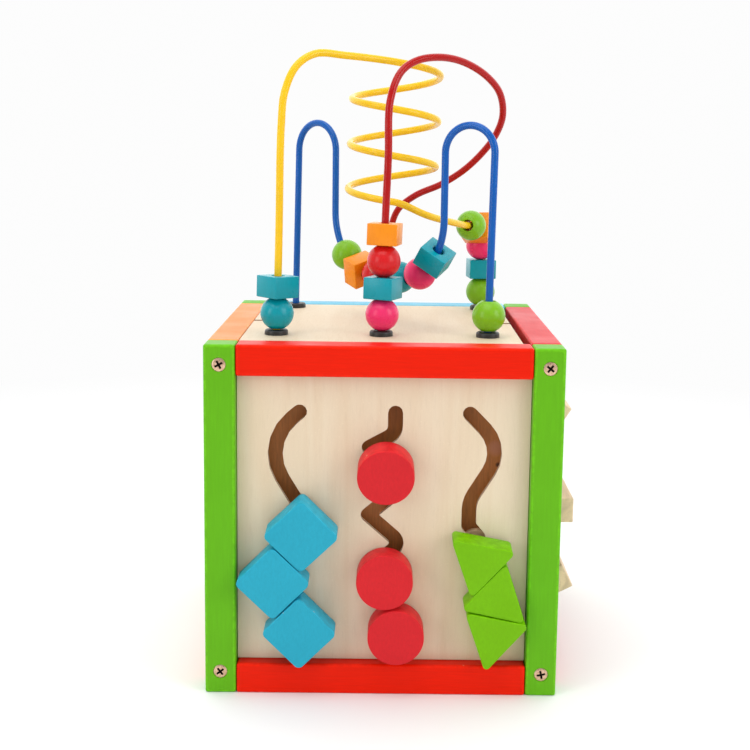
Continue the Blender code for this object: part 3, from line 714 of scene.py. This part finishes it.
FRONT_WALL_Y = -92 * MM
KNOB_THICKNESS, SQUARE_SIDE, DISC, TRIANGLE_RADIUS = 15 * MM, 30.2 * MM, 31.8 * MM, 21.5 * MM
KNOB_CORNER = 2.4 * MM
SQUARE_CORNER, TRIANGLE_CORNER = 1.3 * KNOB_CORNER, KNOB_CORNER * math.sqrt(3)
KNOB_EDGE, KNOB_RIM = 0.4 * MM, 1.2 * MM
PEG, PEG_FREE = 5.4 * MM, 8.8 * MM
RETAINER, RETAINER_THICKNESS, RETAINER_EDGE = 21.4 * MM, 3 * MM, 0.5 * MM
SLIDERS = {  # centre in millimetres, turn and droop in degrees, from the top down
    "blue_square": (((-45.3, 94.9), 44.6, 5), ((-61.2, 67.3), 45.4, 1.5), ((-46.3, 38.3), 45, 1.5)),
    "red_disc": (((1.4, 129.1), 0, 9), ((1.4, 68.6), 0, 1.5), ((8.1, 36.4), 0, 1.5)),
    "green_triangle": (((54.2, 80.8), 259, 5), ((64.7, 59.9), 78, 1.5), ((62.9, 37.6), 259, 1.5)),
}
slider_tints = {
    "blue_square": (0.022, 0.36, 0.50), "red_disc": (0.61, 0.016, 0.022),
    "green_triangle": (0.165, 0.455, 0.001),
}
slider_paints = {
    kind: painted_wood(f"{kind}_coat", tint, (1, 1, 0.4), 0.45, worn=True)
    for kind, tint in slider_tints.items()
}


def bare_wood(name, grain, tint=(0.70, 0.50, 0.30), figure_scale=140):
    """Sanded hardwood without any finish: fine pores and soft growth lines."""
    material, tree, shader = new_material(name, tint, 0.62)
    place = add(tree, "TexCoord").outputs["Object"]
    stretched = add(tree, "Mapping", {"Vector": place, "Scale": grain}).outputs[0]
    figure = noise(tree, stretched, figure_scale, 4, distortion=1.2)
    pores = noise(tree, stretched, 1300, 4, 0.7)
    tone = mix(tree, spread(tree, figure, 0.38, 0.66), shade(tint, 1.12), shade(tint, 0.82))
    tone = mix(tree, spread(tree, pores, 0.52, 0.72, 0, 0.5), tone, shade(tint, 0.66))
    tree.links.new(tone, shader.inputs["Base Color"])
    raise_surface(tree, shader, pores, 0.3, 0.15 * MM)
    return material


def knob_corners(kind, turn):
    """Corners of a knob's outline as (x, z) points, before they are rounded."""
    sides, radius, start = {
        "blue_square": (4, SQUARE_SIDE / math.sqrt(2), math.radians(turn + 45)),
        "red_disc": (72, DISC / 2, 0.0),
        "green_triangle": (3, TRIANGLE_RADIUS, math.radians(turn)),
    }[kind]
    angles = [start + math.tau * k / sides for k in range(sides)]
    return [(radius * math.cos(angle), radius * math.sin(angle)) for angle in angles]


def knob_form(kind, turn):
    """A knob in front of the plane y = 0, its corners rounded and its edges eased."""
    form = bmesh.new()
    corners = [form.verts.new((x, -KNOB_THICKNESS, z)) for x, z in knob_corners(kind, turn)]
    drawn = bmesh.ops.extrude_face_region(form, geom=[form.faces.new(corners)])["geom"]
    back = [part for part in drawn if isinstance(part, bmesh.types.BMVert)]
    bmesh.ops.translate(form, verts=back, vec=(0, KNOB_THICKNESS, 0))
    bmesh.ops.recalc_face_normals(form, faces=form.faces)
    if kind != "red_disc":
        along = [e for e in form.edges if abs(e.verts[0].co.y - e.verts[1].co.y) > MM]
        offset = SQUARE_CORNER if kind == "blue_square" else TRIANGLE_CORNER
        bevelled(form, along, offset, segments=8)
    rims = [e for e in form.edges if abs(e.verts[0].co.y - e.verts[1].co.y) < 0.01 * MM]
    bevelled(form, rims, KNOB_EDGE)
    for face in [f for f in form.faces if len(f.verts) > 8]:
        bmesh.ops.inset_region(form, faces=[face], thickness=KNOB_RIM)
    band = form.verts.layers.float.new("edge")
    for vert in form.verts:
        depth = min(-vert.co.y, KNOB_THICKNESS + vert.co.y)
        beside_rim = any(len(f.verts) == 4 for f in vert.link_faces)
        vert[band] = 1.0 if beside_rim and WELD < depth < 0.5 * MM else 0.0
    return form


peg_wood = bare_wood("bare_peg_wood", (1, 0.2, 1))
peg_end = PEG_FREE + RETAINER_THICKNESS
peg_rim = [(0, 0), (PEG / 2, 0), (PEG / 2, PEG_FREE), (RETAINER / 2 - RETAINER_EDGE, PEG_FREE)]
peg_rim += [(RETAINER / 2, PEG_FREE + RETAINER_EDGE), (RETAINER / 2, peg_end), (0, peg_end)]
for kind, spots in SLIDERS.items():
    for number, ((x, z), turn, droop) in enumerate(spots, 1):
        node = f"{kind}_slider_{number}"
        form = knob_form(kind, turn)
        low_edge = DISC / 2 if kind == "red_disc" else -min(v.co.z for v in form.verts)
        droop = math.radians(droop)
        back_y = FRONT_WALL_Y - GAP - low_edge * math.sin(droop)
        matrix = Matrix.Translation((x * MM, back_y, z * MM + KNOB_THICKNESS * math.sin(droop)))
        matrix = matrix @ Matrix.Rotation(droop, 4, "X")
        bmesh.ops.transform(form, matrix=matrix, verts=form.verts)
        paint = slider_paints[kind]
        finished(f"painted_{node}", form, paint, node, [node], smooth=50)
        turned = matrix @ Matrix.Rotation(-math.pi / 2, 4, "X")
        finished(f"{node}_peg", spun(peg_rim, 40, turned), peg_wood, node)

# --- Tiles and dowels ----------------------------------------------------------------------
# Nine sawn tiles of bare pale hardwood, three to a dowel, spinning freely in the open right
# side. The dowels' ends are glued into blind holes in the right-hand posts.

TILE = (38 * MM, 48 * MM, 14.5 * MM)
TILE_BORE = 8.8 * MM
TILE_ANGLES = ((58, 12, -35), (0, 4, 70), (27, -50, 8))  # degrees, rows from the top
tile_wood = bare_wood("bare_tile_wood", (1, 0.10, 1), (0.74, 0.56, 0.36), 90)
dowel_wood = bare_wood("bare_dowel_wood", (1, 0.06, 1), (0.72, 0.52, 0.31))
for row, angles in enumerate(TILE_ANGLES, 1):
    axle_low, axle_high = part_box(f"tile_dowel_{row}")
    centre = (axle_low + axle_high) / 2
    radius = (axle_high.z - axle_low.z) / 2
    form = rod_form(radius, (centre.x, axle_low.y, centre.z), (centre.x, axle_high.y, centre.z), 40)
    dowel = f"tile_dowel_{row}"
    finished(f"round_{dowel}", form, dowel_wood, "cube", [dowel])
    for column, angle in enumerate(angles, 1):
        node = f"tile_{row}_{column}"
        tile_low, tile_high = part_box(node)
        y = (tile_low.y + tile_high.y) / 2
        tilt = Matrix.Rotation(-math.radians(angle), 4, "Y")
        matrix = Matrix.Translation((centre.x, y, centre.z)) @ tilt
        form = block_form(-Vector(TILE) / 2, Vector(TILE) / 2, 0.8 * MM)
        bmesh.ops.transform(form, matrix=matrix, verts=form.verts)
        tile = finished(f"sawn_{node}", form, tile_wood, node, [node], smooth=60)
        axle = matrix @ Matrix.Rotation(-math.pi / 2, 4, "X")
        carve(tile, drill_form(TILE_BORE, TILE[1] / 2, axle))

# --- Floor, light and camera ---------------------------------------------------------------
# A round white floor that fades into a white backdrop, lit by softboxes from overhead, the
# right and the left. The room is brighter behind the object than in front of it.

BACKDROP = 0.98  # how bright the backdrop looks
BACKDROP_START, BACKDROP_FULL = 0.30, 0.95  # distances between which the floor fades into it
sweep = bmesh.new()
bmesh.ops.create_circle(sweep, cap_ends=True, segments=96, radius=3)
mesh = bpy.data.meshes.new("white_floor")
sweep.to_mesh(mesh)
sweep.free()
floor = linked("white_floor", mesh)
floor_white, tree, shader = new_material("floor_white", (0.86, 0.855, 0.86), 0.9)
place = add(tree, "TexCoord").outputs["Object"]
far = add(tree, "VectorMath", {0: place}, operation="LENGTH").outputs["Value"]
lit = add(tree, "Emission", {"Color": (1, 1, 1, 1), "Strength": BACKDROP}).outputs[0]
near_far = spread(tree, far, BACKDROP_START, BACKDROP_FULL)
blend = add(tree, "MixShader", {0: near_far, 1: shader.outputs[0], 2: lit}).outputs[0]
tree.links.new(blend, tree.nodes["Material Output"].inputs["Surface"])
mesh.materials.append(floor_white)

FRONT_LIGHT, BACK_LIGHT = 0.52, 1.55  # how strongly the room lights from each side
world = bpy.data.worlds.new("white_room")
bpy.context.scene.world = world
world.use_nodes = True
sky = world.node_tree
rays = add(sky, "LightPath")
depth = add(sky, "SeparateXYZ", {0: add(sky, "TexCoord").outputs["Generated"]}).outputs[1]
seen = spread(sky, depth, -0.25, 0.30, FRONT_LIGHT, BACK_LIGHT)
seen = add(sky, "Mix", {0: rays.outputs["Is Camera Ray"], 2: seen, 3: BACKDROP}).outputs[0]
sky.links.new(seen, sky.nodes["Background"].inputs["Strength"])
sky.nodes["Background"].inputs["Color"].default_value = (1, 1, 1, 1)


def softbox(name, spot, aim, size, power):
    light = bpy.data.lights.new(name, "AREA")
    light.shape = "RECTANGLE"
    light.size, light.size_y = size
    light.energy = power
    turn = (Vector(aim) - Vector(spot)).to_track_quat("-Z", "Y")
    linked(name, light).matrix_world = Matrix.Translation(spot) @ turn.to_matrix().to_4x4()


softbox("overhead_softbox", (-0.2, -0.45, 1.5), (0, 0, 0.15), (1.2, 1.2), 9.0)
softbox("right_softbox", (1.5, -1.1, 0.9), (0, 0, 0.2), (0.9, 1.2), 13.0)
softbox("left_softbox", (-1.5, -1.3, 0.7), (0, 0, 0.2), (0.7, 1.2), 8.0)
bpy.context.scene.view_settings.view_transform = "Standard"

YAW, PITCH, ROLL = 0.0089, 0.14569, 0.01464  # radians, to the right, down and anticlockwise
CAMERA_SPOT = (0.00050, -0.79453, 0.31230)
level = math.cos(PITCH)
forward = Vector((math.sin(YAW) * level, math.cos(YAW) * level, -math.sin(PITCH)))
right = Vector((math.cos(YAW), -math.sin(YAW), 0))
up = right.cross(forward)
across = right * math.cos(ROLL) + up * math.sin(ROLL)
upward = up * math.cos(ROLL) - right * math.sin(ROLL)
camera_data = bpy.data.cameras.new("camera")
camera_data.lens = 61.545
camera_data.shift_x, camera_data.shift_y = -0.03, -0.06
camera = linked("camera", camera_data)
turned = Matrix((across, upward, -forward)).transposed().to_4x4()
camera.matrix_world = Matrix.Translation(CAMERA_SPOT) @ turned
bpy.context.scene.camera = camera
